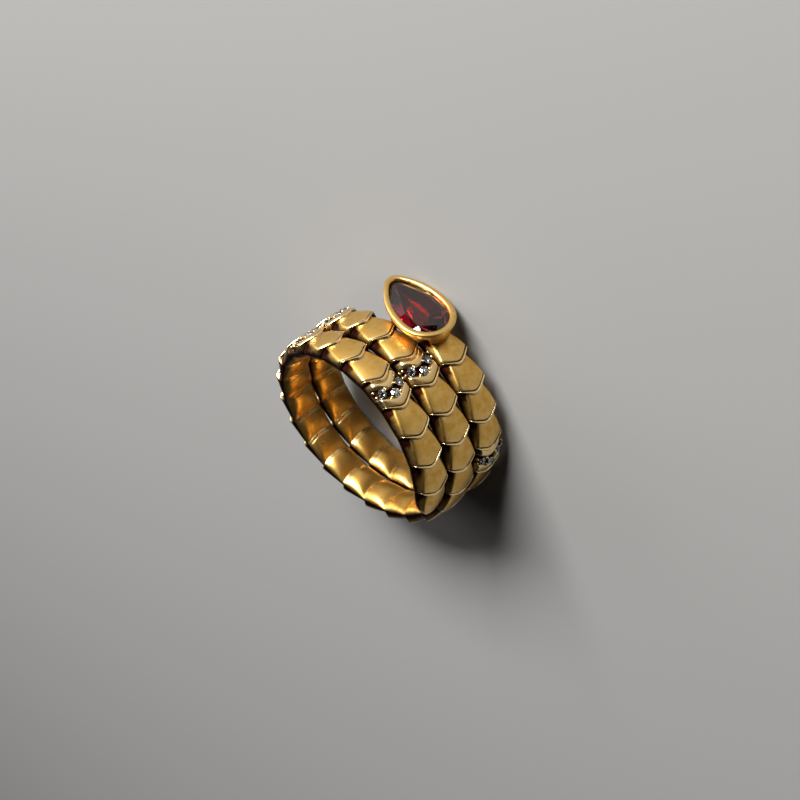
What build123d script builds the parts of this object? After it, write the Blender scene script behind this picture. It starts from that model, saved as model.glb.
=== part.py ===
from build123d import *
from collections import namedtuple
from math import cos, degrees, pi, sin, sqrt
import os

os.makedirs("parts", exist_ok=True)

# Driving sizes of the coil, in millimetres and degrees
row_pitch = 3.6              # rise of one turn, which is the width of one row of scales
row_gap = 0.1                # clear space between neighbouring rows
crown_radius = 10.47         # ring axis to the crown of a row
row_depth = 1.94             # crown to the finger side
scales_per_turn = 22
half_width = (row_pitch - row_gap) / 2
scale_angle = 2 * pi / scales_per_turn

# Scales, counted from the head towards the tail
head_end = 0.15              # where the body ends under the head
neck = 1.9                   # where the body has its full width
tail_scale = 50              # the last scale, a rounded tongue
tail_length = 1.3            # its length in scales
jewelled_scales = (6, 20, 24, 42, 46)
chevron_lead = 0.335         # how far a scale's tip runs ahead of its edges, in scales
back_lead = 0.2              # the same on the finger side

# Head: a pear-shaped collar, measured on the plane of its rim
head_scale = 1.27            # where its middle sits on the coil, in scales
rim_radius = crown_radius + 0.3 * row_pitch
collar_height = 2.0
collar_turn = -12.9          # the pear's axis against the coil's run
collar_back = -1.04          # middle of the round end, behind the head's middle
collar_lift = 0.26           # and above the row's own middle
collar_round = 2.8           # radius of the round end
collar_reach = 5.68          # from there to the tip
collar_flank = 7.0           # radius of its long sides
collar_wall = 0.67
collar_taper = 0.45          # how much the foot is smaller all round
tip_radius = 1.15
row_clearance = 0.18         # head to the scales of the next row
rim_rounding = 0.28
row_slope = degrees(row_pitch / (2 * pi * crown_radius))

# Red stone
stone_overlap = 0.12         # how far the girdle reaches under the collar's lip
stone_play = 0.04            # clear space round the stone
lip_depth = 0.3              # rim to the girdle
girdle_inset = collar_wall - stone_overlap
girdle_height = 0.12
groove_height = 0.24
seat_inset = 2.0             # foot of the seat, drawn in from the collar's outline
table_share = 0.6            # table against girdle
crown_height = 0.38
pavilion_depth = 1.1
stone_sides = 16

# Small clear stones
small_diameter = 0.84
small_table = 0.48
small_crown = 0.13
small_girdle = 0.04
small_pavilion = 0.27
small_sides = 8
small_sink = 0.03            # girdle below the crown of the scale
channel_opening = 0.37       # width of the channel at the crown, in scales
channel_floor = 0.26
channel_middle = 0.43         # place of the channel along a scale

# How the ring lies on the ground, degrees about X and then about Y
lean_x = -7.38
lean_y = 1.67
coil_centre = (-0.007, 0.314, 1.237)  # with it the ring's box stands on the origin

LoopPoint = namedtuple("LoopPoint", "across depth lead crown back")
Station = namedtuple("Station", "along lift recess tuck")
SmallStone = namedtuple("SmallStone", "name across tilt")

# Half of a row's section from its crown round to its back, the finger side: place across as a share
# of the half width, depth under the crown, how far ahead it runs in scales, and its shares of the
# relief of the crown and of the back
half_section = [
    LoopPoint(0.00, 0.00, chevron_lead, 1.0, 0.0),
    LoopPoint(0.51, 0.09, chevron_lead * 0.49, 1.0, 0.0),
    LoopPoint(0.90, 0.34, chevron_lead * 0.10, 1.0, 0.0),
    LoopPoint(1.00, 0.66, 0.0, 0.5, 0.0),
    LoopPoint(1.00, 1.20, 0.0, 0.0, 0.0),
    LoopPoint(0.84, 1.66, back_lead * 0.30, 0.0, 0.8),
    LoopPoint(0.45, 1.88, back_lead * 0.80, 0.0, 1.0),
    LoopPoint(0.00, row_depth, back_lead, 0.0, 1.0),
]

# Relief along one scale: place in scales, lift of the crown, recess of the back, and how far the
# sides tuck in
plain_scale = [
    Station(0.00, -0.20, 0.12, 0.22),
    Station(0.50, -0.05, -0.03, 0.06),
    Station(0.87, 0.00, 0.02, 0.00),
    Station(0.91, -0.12, 0.05, 0.00),
    Station(0.96, 0.05, 0.08, 0.00),
]
jewelled_scale = [
    Station(0.00, -0.20, 0.12, 0.22),
    Station(0.10, 0.00, 0.07, 0.14),
    Station(channel_middle - channel_opening / 2, 0.03, 0.02, 0.08),
    Station(channel_middle - channel_floor / 2, -0.32, 0.00, 0.06),
    Station(channel_middle + channel_floor / 2, -0.32, -0.02, 0.03),
    Station(channel_middle + channel_opening / 2, 0.03, -0.02, 0.00),
    Station(0.86, 0.00, 0.02, 0.00),
    Station(0.91, -0.12, 0.05, 0.00),
    Station(0.96, 0.05, 0.08, 0.00),
]

# The three stones of a channel: place across the row and lean to the side, which follows the crown
small_stones = [
    SmallStone("near", 1.05, 15),
    SmallStone("tip", 0.0, 0),
    SmallStone("far", -1.05, -15),
]


def coil_point(scale, across, radius):
    """A point on the coil, which turns clockwise seen from above as it rises."""
    angle = (scale - head_scale) * scale_angle
    height = row_pitch * angle / (2 * pi) + across
    return coil_frame.from_local_coords(Vector(-radius * sin(angle), -radius * cos(angle), height))


def section_loop(place, station, width=1.0, depth=1.0, lead=1.0):
    """Points once round a row's section; width, depth and lead are shares of the full ones."""
    far_crown = [(-1, point) for point in reversed(half_section[1:4])]
    near_half = [(1, point) for point in half_section]
    far_back = [(-1, point) for point in reversed(half_section[4:7])]
    middle_depth = row_depth / 2
    loop = []
    for side, point in far_crown + near_half + far_back:
        across = point.across * half_width
        if point.across >= 0.9 and point.crown > 0:
            across -= station.tuck
        level = middle_depth + (point.depth - middle_depth) * depth
        level -= station.lift * point.crown + station.recess * point.back
        scale = place + station.along + point.lead * lead
        loop.append(coil_point(scale, side * across * width, crown_radius - level))
    return loop


def body_loops():
    """All sections of the body from under the head to the tip of the tail."""
    loops = []
    under_head = Station(0.0, -0.1, 0.05, 0.0)
    for share in (0.0, 0.25, 0.5, 0.75):
        width = 0.5 + 0.5 * sqrt(1 - (1 - share) ** 2)
        scale = head_end + (neck - head_end) * share
        loops.append(section_loop(scale, under_head, width, 0.85 + 0.15 * share, 0.0))
    for number in range(2, tail_scale):
        stations = jewelled_scale if number in jewelled_scales else plain_scale
        loops += [section_loop(number, station) for station in stations]
    for share in (0.0, 0.3, 0.55, 0.75, 0.9, 1.0):
        width = sqrt(1 - (0.98 * share) ** 2)
        tongue = Station(tail_length * share, -0.2 * (1 - share), 0.12 * (1 - share), 0.0)
        loops.append(section_loop(tail_scale, tongue, width, 0.3 + 0.7 * width, 1 - share))
    return loops


def triangle(first, second, third):
    return Face(Wire.make_polygon([first, second, third], close=True))


def skin(loops):
    """A closed solid through loops of equal length, with a fan of triangles on each end."""
    faces = []
    count = len(loops[0])
    for loop, following in zip(loops, loops[1:]):
        for place in range(count):
            ahead = (place + 1) % count
            faces.append(triangle(loop[place], loop[ahead], following[place]))
            faces.append(triangle(loop[ahead], following[ahead], following[place]))
    for loop in (loops[0], loops[-1]):
        centre = sum(loop, Vector(0, 0, 0)) / count
        for place in range(count):
            faces.append(triangle(loop[place], loop[(place + 1) % count], centre))
    return Solid(Shell(faces))


def coil_plane(scale, across, radius, tilt):
    """A plane on the coil: x towards the head, y to the near side, z out from the ring."""
    middle = coil_point(scale, across, radius)
    outward = middle - coil_point(scale, across, radius - 1)
    near = coil_point(scale, across + 1, radius) - middle
    return Plane(middle, x_dir=near.cross(outward), z_dir=outward).rotated((-tilt, 0, 0))


def pear(plane, inset):
    """A pear-shaped sketch on a plane: the collar's outline drawn in by inset."""
    round_radius = collar_round - inset
    flank_radius = collar_flank - inset
    nose_radius = max(tip_radius - inset, tip_radius / 2)
    nose_x = collar_reach - inset - nose_radius
    to_round = flank_radius - round_radius
    to_nose = flank_radius - nose_radius
    flank_x = (nose_x ** 2 + to_round ** 2 - to_nose ** 2) / (2 * nose_x)
    flank_y = sqrt(to_round ** 2 - flank_x ** 2)
    side = Vector(-flank_x, flank_y) * (round_radius / to_round)
    nose = Vector(nose_x, 0) + Vector(nose_x - flank_x, flank_y) * (nose_radius / to_nose)
    flank = Vector(flank_x, -flank_y) + Vector(0, 1).rotate(Axis.Z, -12) * flank_radius
    with BuildSketch(plane) as outline:
        with BuildLine():
            ThreePointArc((side.X, -side.Y), (-round_radius, 0), (side.X, side.Y))
            ThreePointArc((side.X, side.Y), (flank.X, flank.Y), (nose.X, nose.Y))
            ThreePointArc((nose.X, nose.Y), (nose_x + nose_radius, 0), (nose.X, -nose.Y))
            ThreePointArc((nose.X, -nose.Y), (flank.X, -flank.Y), (side.X, -side.Y))
        make_face()
    return outline.sketch


def pear_corners(depth, share):
    """Corners of the cut stone at a depth under the rim, shrunk by share towards its middle."""
    girdle = pear(Plane.XY, girdle_inset).face().outer_wire()
    middle = Vector((collar_reach - collar_round) / 2, 0)
    corners = []
    for number in range(stone_sides):
        corner = middle + (girdle.position_at(number / stone_sides) - middle) * share
        corners.append(rim_plane.from_local_coords(Vector(corner.X, corner.Y, -depth)))
    return corners


def small_corners(plane, radius, level):
    """Corners of a small stone at one level of its axis."""
    corners = []
    for number in range(small_sides):
        angle = 2 * pi * number / small_sides
        corner = Vector(radius * cos(angle), radius * sin(angle), level)
        corners.append(plane.from_local_coords(corner))
    return corners


def crown_drop(across):
    """How far the crown has fallen at a place across the row."""
    share = abs(across) / half_width
    for inner, outer in zip(half_section, half_section[1:4]):
        if share <= outer.across:
            part = (share - inner.across) / (outer.across - inner.across)
            return inner.depth + (outer.depth - inner.depth) * part
    return half_section[3].depth


coil_frame = Plane(coil_centre).rotated((lean_x, lean_y, 0))
head_middle = Pos(collar_back, -rim_radius, collar_lift)
rim_plane = Plane(coil_frame.location * head_middle * Rot(90, 0, 0) * Rot(0, 0, collar_turn))

# Hollow for the red stone: the opening, the groove under the lip and the seat below it
with BuildPart() as hollow:
    extrude(pear(rim_plane.offset(-lip_depth), collar_wall), amount=1)
    extrude(pear(rim_plane.offset(-lip_depth), girdle_inset - stone_play), amount=-groove_height)
    seat_plane = rim_plane.offset(-lip_depth - groove_height)
    loft([pear(seat_plane, girdle_inset), pear(seat_plane.offset(-pavilion_depth), seat_inset)])

# Pear-shaped collar, cut away over the next row of scales
with BuildPart() as collar:
    loft([pear(rim_plane.offset(-collar_height), collar_taper), pear(rim_plane, 0.0)])
    rim = collar.faces().sort_by(Axis(rim_plane.origin, rim_plane.z_dir))[-1]
    fillet(rim.edges(), radius=rim_rounding)
    row_edge = coil_frame.location * Location((0, 0, half_width - 0.05), (0, row_slope, 0))
    with Locations(row_edge):
        Cylinder(
            crown_radius + row_clearance,
            2 * row_pitch,
            align=(Align.CENTER, Align.CENTER, Align.MIN),
            mode=Mode.SUBTRACT,
        )
    add(hollow.part, mode=Mode.SUBTRACT)

# Coiled body with its collar, one cast and soldered piece
with BuildPart() as band:
    add(skin(body_loops()))
    add(hollow.part, mode=Mode.SUBTRACT)
    add(collar.part)
band.part.label = "band"
export_step(band.part, "parts/band.step")

# Pear-cut red stone with a table, crown facets, girdle and pavilion facets
girdle_top = lip_depth + 2 * stone_play
girdle_foot = girdle_top + girdle_height
culet_depth = girdle_foot + pavilion_depth - 2 * stone_play
with BuildPart() as pear_stone:
    stone_loops = [
        pear_corners(culet_depth, 0.04),
        pear_corners(girdle_foot + 0.6 * pavilion_depth, 0.5),
        pear_corners(girdle_foot, 1.0),
        pear_corners(girdle_top, 1.0),
        pear_corners(girdle_top - crown_height, table_share),
    ]
    add(skin(stone_loops))
pear_stone.part.label = "pear_stone"
export_step(pear_stone.part, "parts/pear_stone.step")

# Small round stones, three to a channel
for channel, number in enumerate(jewelled_scales, start=1):
    for stone in small_stones:
        lead = chevron_lead * (1 - abs(stone.across) / half_width)
        sink = crown_drop(stone.across) + small_sink
        place = number + channel_middle + lead
        plane = coil_plane(place, stone.across, crown_radius - sink, stone.tilt)
        with BuildPart() as small_stone:
            small_loops = [
                small_corners(plane, 0.03, -small_pavilion),
                small_corners(plane, small_diameter / 2, 0),
                small_corners(plane, small_diameter / 2, small_girdle),
                small_corners(plane, small_table / 2, small_girdle + small_crown),
            ]
            add(skin(small_loops))
        small_stone.part.label = f"stone_{channel}_{stone.name}"
        export_step(small_stone.part, f"parts/stone_{channel}_{stone.name}.step")
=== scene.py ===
import math

import bmesh
import bpy
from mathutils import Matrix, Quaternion, Vector


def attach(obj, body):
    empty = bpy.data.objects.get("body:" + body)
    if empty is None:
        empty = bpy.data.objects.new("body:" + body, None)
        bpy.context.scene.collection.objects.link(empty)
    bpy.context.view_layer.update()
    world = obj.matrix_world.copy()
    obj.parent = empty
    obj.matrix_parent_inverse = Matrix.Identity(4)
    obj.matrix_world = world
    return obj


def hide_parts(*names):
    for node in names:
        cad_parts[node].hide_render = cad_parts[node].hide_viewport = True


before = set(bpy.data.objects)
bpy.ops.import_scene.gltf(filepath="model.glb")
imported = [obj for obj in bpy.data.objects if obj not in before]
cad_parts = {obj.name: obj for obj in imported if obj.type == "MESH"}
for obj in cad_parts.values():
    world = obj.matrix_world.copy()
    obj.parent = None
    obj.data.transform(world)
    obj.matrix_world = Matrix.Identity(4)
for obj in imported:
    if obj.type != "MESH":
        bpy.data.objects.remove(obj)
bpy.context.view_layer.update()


print("frame loaded:", len(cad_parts), "nodes")

mm = 0.001

# The coil in its own frame: the finger hole runs along Z and the head faces -Y
coil = {
    "rowPitch": 3.6 * mm,       # rise of one turn
    "rowGap": 0.1 * mm,
    "crownRadius": 10.47 * mm,
    "rowDepth": 1.94 * mm,
    "scalesPerTurn": 22,
    "headScale": 1.27,          # the scale count at the middle of the head
    "crownLead": 0.335,         # how far a scale's tip runs ahead of its edges, in scales
    "backLead": 0.2,            # the same on the finger side
    "firstScale": 2,
    "tailScale": 50,
    "jewelled": (6, 20, 24, 42, 46),
    "parting": 26,              # where the body is parted into two pieces
    "leanX": math.radians(-7.38),   # how the ring lies on the floor
    "leanY": math.radians(1.67),
    "centre": Vector((-0.007, 0.314, 1.237)) * mm,
    "flankShade": 1.9,         # painted shade on a flank for each mm that it is tucked in
    "levels": 2,                # of smoothing
}
scaleAngle = 2 * math.pi / coil["scalesPerTurn"]
scaleRise = coil["rowPitch"] / coil["scalesPerTurn"]
halfWidth = (coil["rowPitch"] - coil["rowGap"]) / 2
mergeGap = 0.002 * mm           # points closer than this are one


# Modelling steps that are used again and again

def deselectAll():
    if bpy.context.object and bpy.context.object.mode == "EDIT":
        bpy.ops.object.mode_set(mode="OBJECT")
    bpy.ops.object.select_all(action="DESELECT")


def activate(piece):
    deselectAll()
    piece.select_set(True)
    bpy.context.view_layer.objects.active = piece


def startEdit(piece):
    activate(piece)
    bpy.ops.object.mode_set(mode="EDIT")
    bpy.ops.mesh.select_mode(type="VERT")


def pickVertices(piece, numbers):
    mesh = bmesh.from_edit_mesh(piece.data)
    bpy.ops.mesh.select_all(action="DESELECT")
    mesh.verts.ensure_lookup_table()
    for number in numbers:
        mesh.verts[number].select = True
    mesh.select_flush(True)
    bmesh.update_edit_mesh(piece.data)


def moveFinished(piece, turn, shift):
    # turns and moves a piece and puts that into its mesh
    activate(piece)
    piece.rotation_euler = turn
    piece.location = shift
    bpy.ops.object.transform_apply(location=True, rotation=True, scale=True)


def copyPiece(source):
    copy = source.copy()
    copy.data = source.data.copy()
    bpy.context.collection.objects.link(copy)
    return copy


def moveAlong(piece, scaleCount):
    # from the start of the coil to a place along it
    moveFinished(piece, (0, 0, -scaleCount * scaleAngle), (0, 0, scaleCount * scaleRise))


def layOnFloor(piece):
    moveFinished(piece, (0, coil["leanY"], 0), (0, 0, 0))
    moveFinished(piece, (coil["leanX"], 0, 0), coil["centre"])


def subdivide(piece, levels):
    activate(piece)
    modifier = piece.modifiers.new("Subdivision", "SUBSURF")
    modifier.levels = levels
    modifier.render_levels = levels
    bpy.ops.object.modifier_apply(modifier=modifier.name)
    bpy.ops.object.shade_smooth()


# Materials

def linear(hexColor):
    # a shader's colour from the sRGB colour as it is seen
    channels = [int(hexColor[at:at + 2], 16) / 255 for at in (1, 3, 5)]
    return [c / 12.92 if c <= 0.04045 else ((c + 0.055) / 1.055) ** 2.4 for c in channels] + [1]


def addNode(tree, kind, settings=None, values=None, links=None):
    # a node with its settings, its input values, and its links as input: output of another node
    node = tree.nodes.new(kind)
    for name, value in (settings or {}).items():
        setattr(node, name, value)
    for name, value in (values or {}).items():
        node.inputs[name].default_value = value
    for name, output in (links or {}).items():
        tree.links.new(output, node.inputs[name])
    return node


def startMaterial(name, values):
    material = bpy.data.materials.new(name)
    material.use_nodes = True
    tree = material.node_tree
    tree.nodes.clear()
    shader = addNode(tree, "ShaderNodeBsdfPrincipled", values=values)
    addNode(tree, "ShaderNodeOutputMaterial", links={"Surface": shader.outputs["BSDF"]})
    return material, tree, shader


def mapRange(tree, value, low, high, toLow, toHigh):
    node = addNode(tree, "ShaderNodeMapRange", values={
        "From Min": low, "From Max": high, "To Min": toLow, "To Max": toHigh},
        links={"Value": value})
    return node.outputs["Result"]


def mixColors(tree, share, first, second):
    # the mix node has its two colours at inputs 6 and 7 and gives the colour at output 2
    node = addNode(tree, "ShaderNodeMix", settings={"data_type": "RGBA"}, links={"Factor": share})
    for place, color in ((6, first), (7, second)):
        if isinstance(color, list):
            node.inputs[place].default_value = color
        else:
            tree.links.new(color, node.inputs[place])
    return node.outputs[2]


def makeGold():
    # Cast gold, brushed to a satin sheen on the scales and polished along their lips, where a
    # paler colour is a painted highlight; it is darkened in the recesses and on the flanks by
    # patina and painted shade. The polish with its painted sheen and the patina with its painted
    # shade of each point are kept with the mesh.
    gold = {
        # the polished colour is a paler gold painted on as a highlight; the dark colour is patina
        # and painted shade
        "clean": "#EEC470", "deep": "#D5A146", "polished": "#FFE3AA", "patinaAndShade": "#2A1006",
        "satinRoughness": 0.34, "brightRoughness": 0.18, "patinaAndShadeRoughness": 0.5,
        "satinSpread": 0.07, "brushWidth": 0.10 * mm, "brushHeight": 0.008 * mm,
        "castSize": 0.6 * mm,
        "castRange": (0.3, 0.7),            # of the noise that is used
        "creep": 1.5,                       # how strongly the patina and painted shade spread out
        "creepLoss": (-0.35, -0.05),        # and how much of it the casting takes back
    }
    material, tree, shader = startMaterial("brushed and polished cast gold", {"Metallic": 1.0})
    where = addNode(tree, "ShaderNodeTexCoord").outputs["Object"]
    patinaAndShade = addNode(tree, "ShaderNodeAttribute", settings={"attribute_name": "patinaAndShade"})
    polishAndSheen = addNode(tree, "ShaderNodeAttribute", settings={"attribute_name": "polishAndSheen"})
    cast = addNode(tree, "ShaderNodeTexNoise", values={
        "Scale": 1 / gold["castSize"], "Detail": 4.0, "Roughness": 0.6}, links={"Vector": where})
    brush = addNode(tree, "ShaderNodeTexNoise", values={
        "Scale": 1 / gold["brushWidth"], "Detail": 2.0, "Roughness": 0.5}, links={"Vector": where})
    tone = mapRange(tree, cast.outputs["Fac"], *gold["castRange"], 0, 1)
    metal = mixColors(tree, tone, linear(gold["clean"]), linear(gold["deep"]))
    # patina and painted shade creep unevenly out of the recesses
    creep = addNode(tree, "ShaderNodeMath", settings={"operation": "MULTIPLY_ADD"},
                    links={0: patinaAndShade.outputs["Fac"]})
    creep.inputs[1].default_value = gold["creep"]
    loss = mapRange(tree, cast.outputs["Fac"], *gold["castRange"], *gold["creepLoss"])
    tree.links.new(loss, creep.inputs[2])
    dark = mapRange(tree, creep.outputs["Value"], 0, 1, 0, 1)
    # painted highlight: polished places are painted a paler gold
    metal = mixColors(tree, polishAndSheen.outputs["Fac"], metal, linear(gold["polished"]))
    # patina and painted shade: recesses, grooves and flanks are painted dark brown
    tree.links.new(mixColors(tree, dark, metal, linear(gold["patinaAndShade"])),
                   shader.inputs["Base Color"])
    rough = mapRange(tree, polishAndSheen.outputs["Fac"], 0, 1,
                     gold["satinRoughness"], gold["brightRoughness"])
    # the satin is a little uneven, as brushing by hand leaves it
    satin = mapRange(tree, cast.outputs["Fac"], *gold["castRange"],
                     gold["satinRoughness"] - gold["satinSpread"],
                     gold["satinRoughness"] + gold["satinSpread"])
    tree.links.new(satin, rough.node.inputs["To Min"])
    roughest = addNode(tree, "ShaderNodeMath", settings={"operation": "MULTIPLY_ADD"},
                       links={0: dark, 2: rough})
    roughest.inputs[1].default_value = gold["patinaAndShadeRoughness"] - gold["satinRoughness"]
    tree.links.new(roughest.outputs["Value"], shader.inputs["Roughness"])
    bump = addNode(tree, "ShaderNodeBump", values={"Strength": 1.0,
                                                   "Distance": gold["brushHeight"]},
                   links={"Height": brush.outputs["Fac"]})
    tree.links.new(bump.outputs["Normal"], shader.inputs["Normal"])
    return material


castGold = makeGold()


def makeStone(name, hexColor, roughness, ior):
    # a cut stone is clear with a body colour; its facets are polished flat
    return startMaterial(name, {"Base Color": linear(hexColor), "Roughness": roughness, "IOR": ior,
                                "Transmission Weight": 1.0})[0]


# each stone has its own body colour and refractive index
garnetStone = makeStone("cut and polished garnet", "#A01424", 0.02, 1.77)
clearStone = makeStone("cut and polished diamond", "#FFFFFF", 0.01, 2.42)
print("materials made")


# Scales

# Half of a row's section from its crown round to its back: place across as a share of the half
# width, depth under the crown in mm, shares of the lead, of the relief of crown and back and of
# the tuck, and how much of the finish, of the gap's patina and painted shade and of the flank's
# painted shade it takes
sectionNames = ("across", "depth", "crownLead", "backLead", "crown", "back", "tuck", "finish",
                "gap", "flank")
halfSection = [dict(zip(sectionNames, row)) for row in (
    (0.00, 0.000, 1.00, 0.00, 1.0, 0.0, 0.0, 1.0, 0.0, 0),
    (0.44, 0.055, 0.56, 0.00, 1.0, 0.0, 0.0, 1.0, 0.0, 0),
    (0.84, 0.180, 0.18, 0.00, 1.0, 0.0, 1.0, 1.0, 0.0, 0),
    (0.92, 0.260, 0.08, 0.00, 1.0, 0.0, 1.1, 1.0, 0.1, 1.0),
    (1.00, 0.740, 0.00, 0.00, 0.6, 0.0, 0.35, 0.6, 0.7, 1.0),
    (1.00, 1.150, 0.00, 0.00, 0.0, 0.0, 0.0, 0.3, 0.95, 0.3),
    (0.86, 1.640, 0.00, 0.28, 0.0, 0.8, 0.0, 0.4, 0.2, 0),
    (0.45, 1.880, 0.00, 0.80, 0.0, 1.0, 0.0, 0.4, 0.0, 0),
    (0.00, 1.940, 0.00, 1.00, 0.0, 1.0, 0.0, 0.4, 0.0, 0),
)]
sectionLoop = ([(-1, point) for point in reversed(halfSection[1:5])]
               + [(1, point) for point in halfSection]
               + [(-1, point) for point in reversed(halfSection[5:8])])

# Along each kind of scale: place in scales, lift of the crown, recess of the back and tuck of the
# sides in mm, patina and painted shade, polish and painted sheen, and shares of width, depth
# and lead
stationNames = ("along", "lift", "recess", "tuck", "patinaAndShade", "polishAndSheen", "width", "depth", "lead")
scaleStart = (-0.20, 0.30, 0.54, 0.45, 0.3, 1, 1, 1)
# the groove before each lip is painted dark as painted shade, and the lip is polished and painted
# paler as a painted highlight
lip = (
    (0.835, 0.00, 0.07, 0.04, 0.0, 0.2, 1, 1, 1),
    (0.855, -0.03, 0.12, 0.02, 0.3, 0.5, 1, 1, 1),
    (0.877, -0.19, 0.15, 0.00, 1.0, 0.3, 1, 1, 1),
    (0.900, 0.01, 0.17, 0.00, 0.2, 1.0, 1, 1, 1),
    (0.932, 0.045, 0.20, 0.02, 0.0, 1.0, 1, 1, 1),
    (0.968, 0.03, 0.24, 0.10, 0.0, 1.0, 1, 1, 1),
    (1.000,) + scaleStart,
)
scaleKinds = {
    "plain": (
        (0.00,) + scaleStart,
        (0.035, -0.18, 0.27, 0.54, 0.0, 0.1, 1, 1, 1),
        (0.22, -0.11, 0.05, 0.42, 0.0, 0.0, 1, 1, 1),
        (0.52, -0.04, -0.05, 0.22, 0.0, 0.0, 1, 1, 1),
    ) + lip,
    "jewelled": (
        (0.00,) + scaleStart,
        (0.05, -0.04, 0.20, 0.42, 0.0, 0.6, 1, 1, 1),
        (0.10, 0.03, 0.12, 0.36, 0.0, 0.8, 1, 1, 1),
        (0.235, 0.03, 0.03, 0.26, 0.1, 0.8, 1, 1, 1),
        # the stones' channel is painted dark, as painted shade
        (0.29, -0.30, 0.00, 0.20, 1.0, 0.3, 1, 1, 1),
        (0.57, -0.30, -0.04, 0.10, 0.9, 0.3, 1, 1, 1),
        (0.62, 0.03, -0.03, 0.08, 0.1, 0.8, 1, 1, 1),
        (0.72, 0.04, -0.01, 0.06, 0.0, 0.8, 1, 1, 1),
    ) + lip,
    "neck": (
        (0.15, -1.00, 0.05, 0.00, 0.0, 0.2, 0.50, 0.85, 0),
        (0.59, -1.10, 0.05, 0.00, 0.0, 0.2, 0.83, 0.89, 0),
        (1.03, -1.10, 0.05, 0.00, 0.0, 0.2, 0.93, 0.93, 0),
        (1.50, -0.95, 0.02, 0.05, 0.0, 0.2, 0.98, 0.97, 0.5),
        (1.90, -0.40, 0.10, 0.30, 0.0, 0.2, 1, 1, 1),
        (2.00,) + scaleStart,
    ),
    "tail": (
        (0.00,) + scaleStart,
        (0.035, -0.17, 0.22, 0.50, 0.0, 0.1, 1, 1, 1),
        (0.39, -0.12, 0.06, 0.10, 0.0, 0.0, 0.956, 0.97, 0.7),
        (0.72, -0.08, 0.04, 0.00, 0.0, 0.0, 0.84, 0.89, 0.45),
        (0.98, -0.04, 0.02, 0.00, 0.0, 0.1, 0.68, 0.78, 0.25),
        (1.17, 0.00, 0.00, 0.00, 0.0, 0.2, 0.47, 0.63, 0.1),
        (1.30, 0.00, 0.00, 0.00, 0.0, 0.2, 0.20, 0.44, 0.0),
    ),
}


def runOnCoil(scaleCount):
    # moves what is selected along the coil; without a window rotate turns clockwise
    bpy.ops.transform.rotate(value=scaleCount * scaleAngle, orient_axis="Z",
                             center_override=(0, 0, 0))
    bpy.ops.transform.translate(value=(0, 0, scaleCount * scaleRise))


def drawSection(piece):
    # the circle's points go to the section's places
    mesh = bmesh.from_edit_mesh(piece.data)
    mesh.verts.ensure_lookup_table()
    starts = [vertex.co.copy() for vertex in mesh.verts]
    for number, (side, point) in enumerate(sectionLoop):
        target = Vector((0, point["depth"] * mm - coil["crownRadius"],
                         side * point["across"] * halfWidth))
        pickVertices(piece, [number])
        bpy.ops.transform.translate(value=target - starts[number])


def sortVertices(piece, stations):
    # the vertices of each station by the section's point, told by where they stand
    mesh = bmesh.from_edit_mesh(piece.data)
    places = {}
    for vertex in mesh.verts:
        scaleCount = math.atan2(-vertex.co.x, -vertex.co.y) / scaleAngle
        number = min(range(len(stations)),
                     key=lambda one: abs(stations[one]["along"] - scaleCount))
        across = vertex.co.z - scaleCount * scaleRise
        depth = coil["crownRadius"] - vertex.co.xy.length
        column = min(range(len(halfSection)), key=lambda one: math.hypot(
            abs(across) - halfSection[one]["across"] * halfWidth,
            depth - halfSection[one]["depth"] * mm))
        places.setdefault((number, column), []).append(vertex.index)
    return places


def shapeStation(piece, station, columns):
    middleDepth = coil["rowDepth"] / 2
    rowHeight = station["along"] * scaleRise
    for point, numbers in zip(halfSection, columns):
        plainDepth = point["depth"] * mm
        depth = middleDepth + (plainDepth - middleDepth) * station["depth"]
        depth -= (station["lift"] * point["crown"] + station["recess"] * point["back"]) * mm
        grow = (coil["crownRadius"] - depth) / (coil["crownRadius"] - plainDepth)
        across = max(point["across"] * halfWidth, mergeGap)
        narrow = (across - station["tuck"] * point["tuck"] * mm) * station["width"] / across
        pickVertices(piece, numbers)
        bpy.ops.transform.resize(value=(grow, grow, narrow), center_override=(0, 0, rowHeight))
        lead = point["crownLead"] * coil["crownLead"] + point["backLead"] * coil["backLead"]
        if lead * station["lead"]:
            runOnCoil(lead * station["lead"])


def makeScale(kind):
    # one section is drawn out along the coil station by station and then shaped
    stations = [dict(zip(stationNames, row)) for row in scaleKinds[kind]]
    deselectAll()
    bpy.ops.mesh.primitive_circle_add(vertices=len(sectionLoop), radius=coil["rowDepth"] / 2)
    piece = bpy.context.object
    piece.name = kind + ".scale"
    piece.data.materials.append(castGold)
    startEdit(piece)
    drawSection(piece)
    bpy.ops.mesh.select_all(action="SELECT")
    runOnCoil(stations[0]["along"])
    for station, following in zip(stations, stations[1:]):
        bpy.ops.mesh.extrude_region_move()
        runOnCoil(following["along"] - station["along"])
    places = sortVertices(piece, stations)
    groups = [[places[number, column] for column in range(len(halfSection))]
              for number in range(len(stations))]
    for station, columns in zip(stations, groups):
        shapeStation(piece, station, columns)
    bpy.ops.object.mode_set(mode="OBJECT")
    for station, columns in zip(stations, groups):
        for point, numbers in zip(halfSection, columns):
            # painted shade: a flank is painted darkest where it slopes widest
            patinaAndShade = max(station["patinaAndShade"] * point["finish"], point["gap"],
                         min(station["tuck"] * coil["flankShade"] * point["flank"], 1))
            setFinishAndPaintedLight(piece, numbers, patinaAndShade, station["polishAndSheen"] * point["finish"])
    return piece


# paints each point's patina and painted shade, and its polish and painted sheen
def setFinishAndPaintedLight(piece, numbers, patinaAndShade, polishAndSheen):
    for name, value in (("patinaAndShade", patinaAndShade), ("polishAndSheen", polishAndSheen)):
        layer = (piece.data.attributes.get(name)
                 or piece.data.attributes.new(name, "FLOAT", "POINT"))
        for number in numbers:
            layer.data[number].value = value


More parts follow.
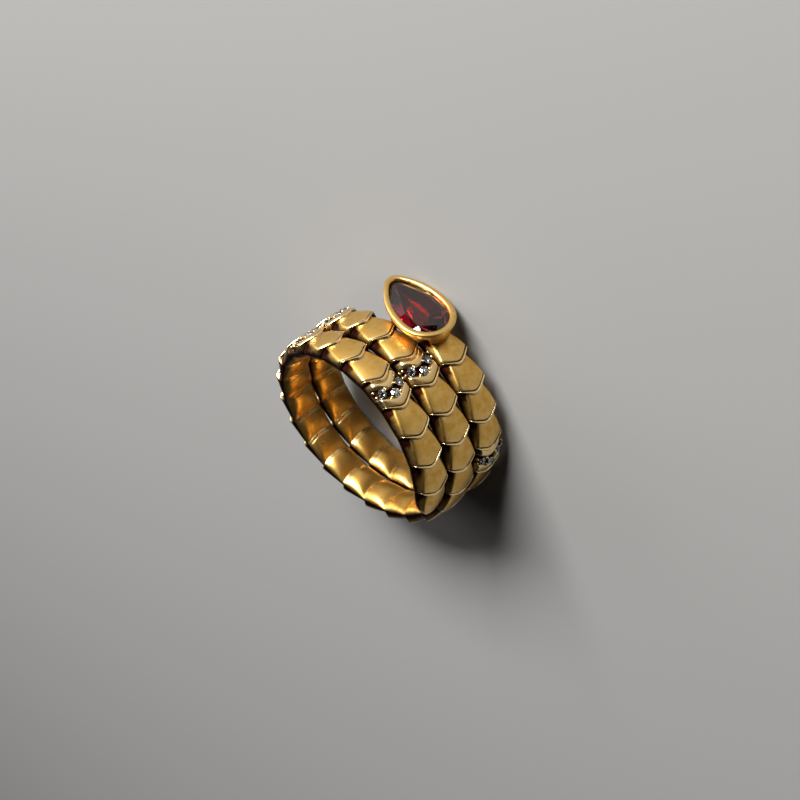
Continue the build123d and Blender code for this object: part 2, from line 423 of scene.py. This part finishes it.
def copyToScale(source, number):
    copy = copyPiece(source)
    moveAlong(copy, number - coil["headScale"])
    return copy


def joinPieces(copies, name):
    deselectAll()
    for copy in copies:
        copy.select_set(True)
    bpy.context.view_layer.objects.active = copies[0]
    bpy.ops.object.join()
    joined = bpy.context.object
    joined.name = name
    return joined


def closeSeams(piece):
    # where scales meet their points become one, and the open ends are closed
    startEdit(piece)
    bpy.ops.mesh.select_all(action="SELECT")
    bpy.ops.mesh.remove_doubles(threshold=mergeGap)
    bpy.ops.mesh.select_all(action="SELECT")
    bpy.ops.mesh.fill_holes(sides=0)
    bpy.ops.mesh.normals_make_consistent(inside=False)
    bpy.ops.object.mode_set(mode="OBJECT")


sources = {kind: makeScale(kind) for kind in scaleKinds}
body = [copyToScale(sources["neck"], 0)]
for number in range(coil["firstScale"], coil["tailScale"]):
    kind = "jewelled" if number in coil["jewelled"] else "plain"
    body.append(copyToScale(sources[kind], number))
body.append(copyToScale(sources["tail"], coil["tailScale"]))
headScales = joinPieces(body, "scales_head")
closeSeams(headScales)
subdivide(headScales, coil["levels"])
for source in sources.values():
    bpy.data.objects.remove(source)


def placeAlong(point):
    # how many scales along the coil a point lies
    scaleCount = math.atan2(-point.x, -point.y) / scaleAngle
    turns = round((point.z / scaleRise - scaleCount) / coil["scalesPerTurn"])
    return scaleCount + turns * coil["scalesPerTurn"] + coil["headScale"]


def partTail(piece):
    # the tail's half becomes a piece of its own, which keeps both light
    startEdit(piece)
    bpy.ops.mesh.select_mode(type="FACE")
    bpy.ops.mesh.select_all(action="DESELECT")
    mesh = bmesh.from_edit_mesh(piece.data)
    for face in mesh.faces:
        face.select = placeAlong(face.calc_center_median()) > coil["parting"]
    bmesh.update_edit_mesh(piece.data)
    bpy.ops.mesh.separate(type="SELECTED")
    bpy.ops.object.mode_set(mode="OBJECT")
    tail = [one for one in bpy.context.selected_objects if one is not piece][0]
    tail.name = "scales_tail"
    return tail


tailScales = partTail(headScales)
for piece in (headScales, tailScales):
    layOnFloor(piece)
    print(piece.name, "made:", len(piece.data.polygons), "faces")


# Collar

collar = {
    "rimRadius": coil["crownRadius"] + 0.3 * coil["rowPitch"],
    "turn": math.radians(-12.9),    # the pear's axis against the coil's run
    "back": -1.04 * mm,             # middle of the round end
    "lift": 0.26 * mm,
    "round": 2.8 * mm,              # radius of the round end
    "reach": 5.68 * mm,             # from there to the tip
    "flank": 7.0 * mm,              # radius of the long sides
    "tip": 1.15 * mm,
    "corners": 40,
    "levels": 2,                    # of smoothing
    "sameLevel": 0.1 * mm,          # points of one loop lie closer in height than this
    "overRow": (0.9, 0.7),          # depth of the lowest two loops over the next row, in mm
    "shadeFrom": 0.5 * mm,         # depths between which the wall is painted darker, as painted shade
    "shadeTo": 1.7 * mm,
    # the most painted shade down the wall
    "patinaAndShade": 0.6,
    "polishAndSheen": 0.15,
    # inset and depth of the wall's loops from the foot over the rim down to the seat, in mm
    "wall": ((0.45, 2.0), (0.22, 1.1), (0.08, 0.44), (0.04, 0.24), (0.08, 0.08), (0.22, 0.01),
             (0.44, 0.0), (0.61, 0.06), (0.67, 0.20), (0.67, 0.34), (0.51, 0.40),
             (0.51, 0.56), (2.2, 1.98)),
}


def pearHalfWidth(x):
    # the pear's outline: a round end, long flanks and a small nose, all arcs that run together
    noseX = collar["reach"] - collar["tip"]
    toRound = collar["flank"] - collar["round"]
    toNose = collar["flank"] - collar["tip"]
    flankX = (noseX ** 2 + toRound ** 2 - toNose ** 2) / (2 * noseX)
    flankY = math.sqrt(toRound ** 2 - flankX ** 2)
    if x < -flankX * collar["round"] / toRound:
        return math.sqrt(collar["round"] ** 2 - x ** 2)
    if x > noseX + (noseX - flankX) * collar["tip"] / toNose:
        return math.sqrt(max(collar["tip"] ** 2 - (x - noseX) ** 2, 0))
    return math.sqrt(collar["flank"] ** 2 - (x - flankX) ** 2) - flankY


def drawPear(piece):
    # the circle's front half is drawn out to the tip
    mesh = bmesh.from_edit_mesh(piece.data)
    mesh.verts.ensure_lookup_table()
    starts = [vertex.co.copy() for vertex in mesh.verts]
    for number, start in enumerate(starts):
        x = start.x
        if x > 0:
            x *= collar["reach"] / collar["round"]
        y = math.copysign(pearHalfWidth(x), start.y) if abs(start.y) > mergeGap else 0
        pickVertices(piece, [number])
        bpy.ops.transform.translate(value=Vector((x, y, 0)) - start)


def makeCollar():
    middle = (collar["reach"] - collar["round"]) / 2
    halfLength = (collar["reach"] + collar["round"]) / 2
    wall = [(inset * mm, depth * mm) for inset, depth in collar["wall"]]
    deselectAll()
    bpy.ops.mesh.primitive_circle_add(vertices=collar["corners"], radius=collar["round"])
    piece = bpy.context.object
    piece.name = "collar"
    piece.data.materials.append(castGold)
    startEdit(piece)
    drawPear(piece)
    bpy.ops.mesh.select_all(action="SELECT")
    inset, depth = 0, 0
    for number, (nextInset, nextDepth) in enumerate(wall):
        if number:
            bpy.ops.mesh.extrude_region_move()
        bpy.ops.transform.resize(
            value=((halfLength - nextInset) / (halfLength - inset),
                   (collar["round"] - nextInset) / (collar["round"] - inset), 1),
            center_override=(middle, 0, 0))
        bpy.ops.transform.translate(value=(0, 0, depth - nextDepth))
        inset, depth = nextInset, nextDepth
    bpy.ops.mesh.edge_face_add()
    return piece


def raiseFoot(piece):
    # over the next row of scales the lowest loops stay clear of their crowns
    mesh = bmesh.from_edit_mesh(piece.data)
    across = {vertex.index: vertex.co.y * math.cos(collar["turn"])
              + vertex.co.x * math.sin(collar["turn"]) + collar["lift"] for vertex in mesh.verts}
    depths = [depth for inset, depth in collar["wall"]]
    loops = []
    for depth, level in zip(depths, collar["overRow"]):
        numbers = [vertex.index for vertex in mesh.verts
                   if across[vertex.index] > halfWidth
                   and abs(vertex.co.z + depth * mm) < collar["sameLevel"]]
        loops.append((numbers, depth - level))
    for numbers, rise in loops:
        pickVertices(piece, numbers)
        bpy.ops.transform.translate(value=(0, 0, rise * mm))


def finishAndShadeCollar(piece):
    # satin on the rim; the wall is painted darker further down, as painted shade
    span = collar["shadeTo"] - collar["shadeFrom"]
    for vertex in piece.data.vertices:
        share = max((-vertex.co.z - collar["shadeFrom"]) / span, 0)
        setFinishAndPaintedLight(piece, [vertex.index], min(share, collar["patinaAndShade"]), collar["polishAndSheen"])


def seatOnHead(piece):
    moveFinished(piece, (0, 0, collar["turn"]), (0, 0, 0))
    moveFinished(piece, (math.radians(90), 0, 0),
                 (collar["back"], -collar["rimRadius"], collar["lift"]))
    layOnFloor(piece)


collarPiece = makeCollar()
raiseFoot(collarPiece)
bpy.ops.mesh.select_all(action="SELECT")
bpy.ops.mesh.fill_holes(sides=0)
bpy.ops.mesh.normals_make_consistent(inside=False)
bpy.ops.object.mode_set(mode="OBJECT")
finishAndShadeCollar(collarPiece)
subdivide(collarPiece, collar["levels"])
seatOnHead(collarPiece)
print("collar made")


# Beads of metal that hold the small stones

beads = {
    "size": 0.27 * mm,
    "sides": 8,
    "rings": 6,
    "sink": 0.02 * mm,
    "footSpread": 1.3,
    "footDepth": 0.1 * mm,
    # polished and painted paler, a painted highlight
    "polishAndSheen": 0.8,
    "middle": 0.43,             # place of the channel along a scale
    # across the row in mm and ahead of the channel's middle in scales
    "places": ((1.62, -0.07), (1.62, 0.10), (0.53, -0.14), (0.53, 0.15), (-0.53, -0.14),
               (-0.53, 0.15), (-1.62, -0.07), (-1.62, 0.10)),
}


def makeBead():
    # a small dome pushed up from the metal, with its foot in the scale
    deselectAll()
    bpy.ops.mesh.primitive_uv_sphere_add(segments=beads["sides"], ring_count=beads["rings"],
                                         radius=beads["size"] / 2)
    bead = bpy.context.object
    bead.name = "bead"
    bead.data.materials.append(castGold)
    startEdit(bead)
    mesh = bmesh.from_edit_mesh(bead.data)
    pickVertices(bead, [vertex.index for vertex in mesh.verts if vertex.co.z < -beads["sink"]])
    bpy.ops.transform.resize(value=(beads["footSpread"], beads["footSpread"], 1),
                             center_override=(0, 0, 0))
    bpy.ops.transform.translate(value=(0, 0, -beads["footDepth"]))
    bpy.ops.object.mode_set(mode="OBJECT")
    moveFinished(bead, (math.radians(90), 0, 0), (0, 0, 0))
    setFinishAndPaintedLight(bead, range(len(bead.data.vertices)), 0, beads["polishAndSheen"])
    bpy.ops.object.shade_smooth()
    return bead


def crownDepth(share):
    # how far the crown has fallen at a share of the half width
    outerPoints = halfSection[:5]
    for inner, outer in zip(outerPoints, outerPoints[1:]):
        if share <= outer["across"]:
            part = (share - inner["across"]) / (outer["across"] - inner["across"])
            return (inner["depth"] + (outer["depth"] - inner["depth"]) * part) * mm
    return outerPoints[-1]["depth"] * mm


def placeBead(source, number, across, ahead):
    # the channel runs along the V of the scale's tip
    share = min(abs(across) * mm / halfWidth, 1)
    lead = coil["crownLead"] * (1 - share)
    radius = coil["crownRadius"] - crownDepth(share) - beads["sink"]
    copy = copyPiece(source)
    moveFinished(copy, (0, 0, 0), (0, -radius, across * mm))
    moveAlong(copy, number + beads["middle"] + ahead + lead - coil["headScale"])
    return copy


beadSource = makeBead()
beadCopies = [placeBead(beadSource, number, across, ahead)
              for number in coil["jewelled"] for across, ahead in beads["places"]]
bpy.data.objects.remove(beadSource)
beadPiece = joinPieces(beadCopies, "beads")
layOnFloor(beadPiece)
print("beads made")

for piece in (headScales, tailScales, collarPiece, beadPiece):
    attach(piece, "root")
    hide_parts("band")


# Red stone

garnet = {
    "corners": 48,
    "inset": 0.55 * mm,         # girdle against the collar's outline
    "table": 0.02 * mm,         # depths under the rim
    "girdleTop": 0.38 * mm,
    "girdleFoot": 0.50 * mm,
    "culet": 1.93 * mm,
    # how many facets go round, where they start in shares of one, slope in degrees and how far
    # in from the girdle they start, in mm
    "crown": ((8, 0.0, 31, 0.0), (16, 0.5, 37, 0.0), (8, 0.5, 21, 0.27)),
    "pavilion": ((8, 0.0, 33, 0.0), (16, 0.5, 37, 0.0)),
}


def pearPoint(turn):
    # a point of the girdle and its direction outwards; turn runs from the tip once round
    halfLength = (collar["reach"] + collar["round"]) / 2
    x = math.cos(turn) * halfLength + (collar["reach"] - collar["round"]) / 2
    step = 0.01 * mm            # for the slope of the outline
    ahead, behind = min(x + step, collar["reach"]), max(x - step, -collar["round"])
    slope = (pearHalfWidth(behind) - pearHalfWidth(ahead)) / (ahead - behind)
    side = 1 if math.sin(turn) >= 0 else -1
    if math.isclose(math.sin(turn), 0, abs_tol=0.001):
        outward = Vector((math.copysign(1, math.cos(turn)), 0, 0))
    else:
        outward = Vector((slope, side, 0)).normalized()
    return Vector((x, side * pearHalfWidth(x), 0)) - outward * garnet["inset"], outward


def cutFacets(piece, rows, level, up):
    # every facet is ground away by a plane that starts from the girdle
    for count, start, slope, inset in rows:
        lean = math.radians(slope)
        for number in range(count):
            place, outward = pearPoint(2 * math.pi * (number + start) / count)
            place -= outward * inset * mm
            place.z = level + up * inset * mm * math.tan(math.radians(rows[0][2]))
            facing = outward * math.sin(lean) + Vector((0, 0, up * math.cos(lean)))
            bpy.ops.mesh.select_all(action="SELECT")
            bpy.ops.mesh.bisect(plane_co=place, plane_no=facing, use_fill=True,
                                clear_outer=True)


def makeGarnet():
    deselectAll()
    bpy.ops.mesh.primitive_circle_add(vertices=garnet["corners"], radius=collar["round"],
                                      fill_type="NGON")
    piece = bpy.context.object
    piece.name = "garnet"
    piece.data.materials.append(garnetStone)
    startEdit(piece)
    drawPear(piece)
    bpy.ops.mesh.select_all(action="SELECT")
    middle = (collar["reach"] - collar["round"]) / 2
    halfLength = (collar["reach"] + collar["round"]) / 2
    bpy.ops.transform.resize(value=(1 - garnet["inset"] / halfLength,
                                    1 - garnet["inset"] / collar["round"], 1),
                             center_override=(middle, 0, 0))
    bpy.ops.transform.translate(value=(0, 0, -garnet["table"]))
    bpy.ops.mesh.extrude_region_move(
        TRANSFORM_OT_translate={"value": (0, 0, garnet["table"] - garnet["culet"])})
    cutFacets(piece, garnet["crown"], -garnet["girdleTop"], 1)
    cutFacets(piece, garnet["pavilion"], -garnet["girdleFoot"], -1)
    bpy.ops.mesh.select_all(action="SELECT")
    bpy.ops.mesh.remove_doubles(threshold=mergeGap)
    bpy.ops.mesh.normals_make_consistent(inside=False)
    bpy.ops.object.mode_set(mode="OBJECT")
    seatOnHead(piece)
    return piece


garnetPiece = makeGarnet()
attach(garnetPiece, "root")
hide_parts("pear_stone")
print("garnet cut:", len(garnetPiece.data.polygons), "facets")

# Small stones keep their cut shape
for name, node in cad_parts.items():
    if name not in ("band", "pear_stone"):
        for slot in node.material_slots:
            slot.material = clearStone
print("small stones finished")


# Floor, light and camera

view = {
    "place": Vector((-53.638, -87.074, 80.878)) * mm,
    "target": Vector((-0.464, -0.793, 3.819)) * mm,
    "roll": math.radians(-124.85),
    "lens": 62.27,
    "sensor": 36,
    "near": 1 * mm,
}
studio = {
    "floorSide": 6,
    "floorColor": "#908F8D",
    "floorRoughness": 0.9,
    "roomColor": "#8A8A8C",
    "roomStrength": 0.08,
}
# Direction from the ring, distance, size and power
lights = {
    "key": ((0.36, -0.78, 0.52), 0.45, (0.26, 0.20), 5.5),
    "side": ((0.95, -0.05, 0.32), 0.5, (0.35, 0.30), 0.9),
}


def addFloor():
    deselectAll()
    bpy.ops.mesh.primitive_plane_add(size=studio["floorSide"])
    floor = bpy.context.object
    floor.name = "floor"
    material = startMaterial("pale studio floor", {
        "Base Color": linear(studio["floorColor"]), "Roughness": studio["floorRoughness"]})[0]
    floor.data.materials.append(material)


def addLight(name, direction, distance, size, power):
    # an area light that looks at the ring from a direction
    light = bpy.data.lights.new(name, "AREA")
    light.shape = "RECTANGLE"
    light.size, light.size_y = size
    light.energy = power
    holder = bpy.data.objects.new(name, light)
    bpy.context.collection.objects.link(holder)
    holder.location = Vector(direction).normalized() * distance + view["target"]
    holder.rotation_euler = Vector(direction).to_track_quat("Z", "Y").to_euler()


def addRoom():
    # a weak grey room all round
    world = bpy.data.worlds.new("studio")
    world.use_nodes = True
    background = world.node_tree.nodes["Background"]
    background.inputs["Color"].default_value = linear(studio["roomColor"])
    background.inputs["Strength"].default_value = studio["roomStrength"]
    bpy.context.scene.world = world


def addCamera():
    camera = bpy.data.cameras.new("camera")
    camera.lens = view["lens"]
    camera.sensor_width = view["sensor"]
    camera.clip_start = view["near"]
    holder = bpy.data.objects.new("camera", camera)
    bpy.context.collection.objects.link(holder)
    holder.location = view["place"]
    looking = (view["target"] - view["place"]).to_track_quat("-Z", "Y")
    holder.rotation_euler = (looking @ Quaternion((0, 0, 1), view["roll"])).to_euler()
    bpy.context.scene.camera = holder


addFloor()
addCamera()
for name, settings in lights.items():
    addLight(name, *settings)
addRoom()
bpy.context.scene.view_settings.view_transform = "Standard"
print("floor, light and camera set")
